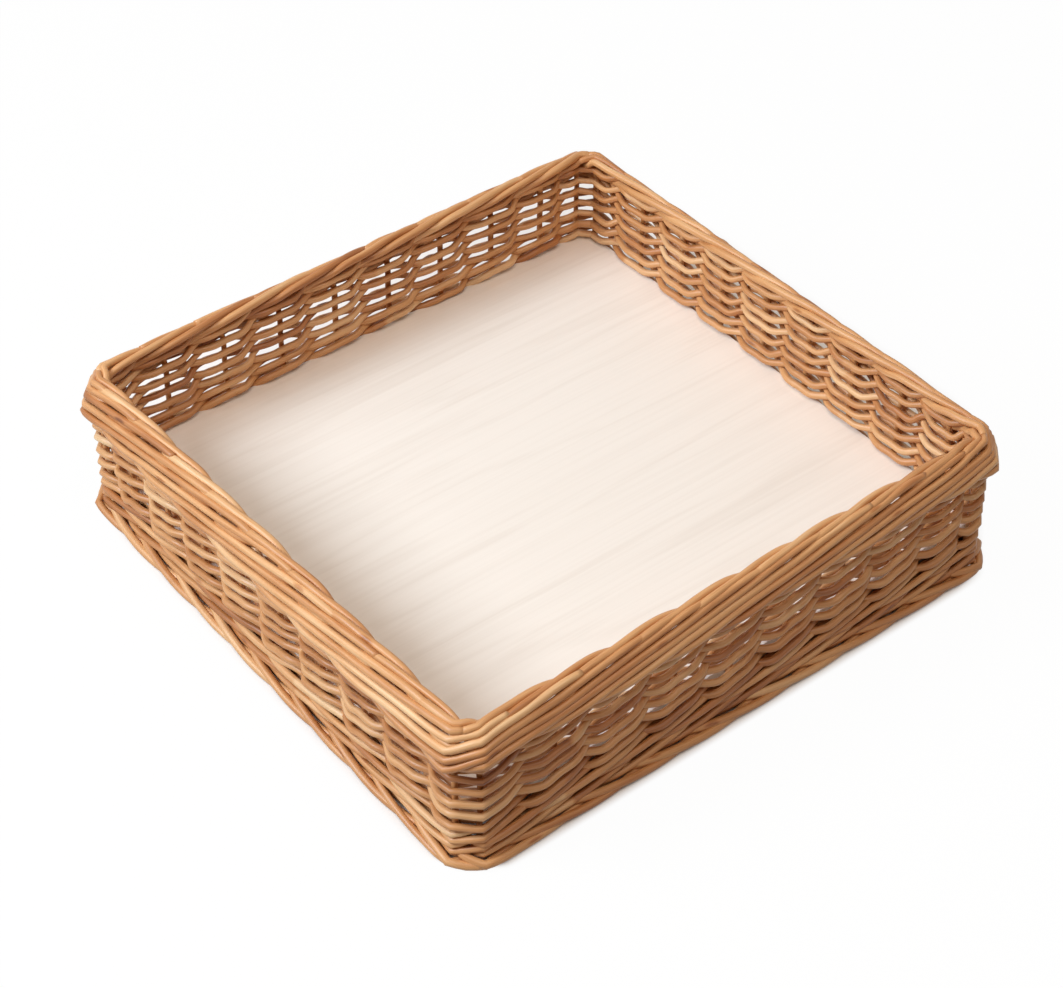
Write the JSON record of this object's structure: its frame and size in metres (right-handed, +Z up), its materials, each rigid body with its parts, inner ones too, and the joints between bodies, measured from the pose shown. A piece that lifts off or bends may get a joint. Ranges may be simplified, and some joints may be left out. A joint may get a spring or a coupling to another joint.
{
  "type": "wicker tray",
  "caption": "Square open willow tray with a plywood base, woven see-through walls, cut corners and plaited top and foot borders, for carrying or displaying goods.",
  "frame": {"origin": "on the floor under the centre of the tray", "axes": "+Z up, +X and +Y square to the walls; the tray is slightly longer along Y"},
  "size_m": [0.3, 0.308, 0.0773],
  "materials": {
    "plywood": "pale birch plywood, bare, matt",
    "willow_stake": "peeled buff willow, satin",
    "willow_wale": "peeled buff willow, satin",
    "willow_weaver": "peeled buff willow, satin"
  },
  "bodies": {
    "root": {"base_board": "plywood", "stake_rod_01": "willow_stake", "stake_rod_02": "willow_stake", "stake_rod_03": "willow_stake", "stake_rod_04": "willow_stake", "stake_rod_05": "willow_stake", "stake_rod_06": "willow_stake", "stake_rod_07": "willow_stake", "stake_rod_08": "willow_stake", "stake_rod_09": "willow_stake", "stake_rod_10": "willow_stake", "stake_rod_11": "willow_stake", "stake_rod_12": "willow_stake", "stake_rod_13": "willow_stake", "stake_rod_14": "willow_stake", "stake_rod_15": "willow_stake", "stake_rod_16": "willow_stake", "stake_rod_17": "willow_stake", "stake_rod_18": "willow_stake", "stake_rod_19": "willow_stake", "stake_rod_20": "willow_stake", "stake_rod_21": "willow_stake", "stake_rod_22": "willow_stake", "stake_rod_23": "willow_stake", "stake_rod_24": "willow_stake", "stake_rod_25": "willow_stake", "stake_rod_26": "willow_stake", "stake_rod_27": "willow_stake", "stake_rod_28": "willow_stake", "stake_rod_29": "willow_stake", "stake_rod_30": "willow_stake", "stake_rod_31": "willow_stake", "stake_rod_32": "willow_stake", "stake_rod_33": "willow_stake", "stake_rod_34": "willow_stake", "stake_rod_35": "willow_stake", "stake_rod_36": "willow_stake", "stake_rod_37": "willow_stake", "stake_rod_38": "willow_stake", "stake_rod_39": "willow_stake", "stake_rod_40": "willow_stake", "under_row_1_outer_rod": "willow_wale", "under_row_1_inner_rod": "willow_wale", "under_row_2_outer_rod": "willow_wale", "under_row_2_inner_rod": "willow_wale", "wall_row_1_outer_rod": "willow_weaver", "wall_row_1_inner_rod": "willow_weaver", "wall_row_2_outer_rod": "willow_weaver", "wall_row_2_inner_rod": "willow_weaver", "wall_row_3_outer_rod": "willow_weaver", "wall_row_3_inner_rod": "willow_weaver", "wall_row_4_outer_rod": "willow_weaver", "wall_row_4_inner_rod": "willow_weaver", "wall_row_5_outer_rod": "willow_weaver", "wall_row_5_inner_rod": "willow_weaver", "wall_row_6_outer_rod": "willow_weaver", "wall_row_6_inner_rod": "willow_weaver"}
  },
  "joints": []
}
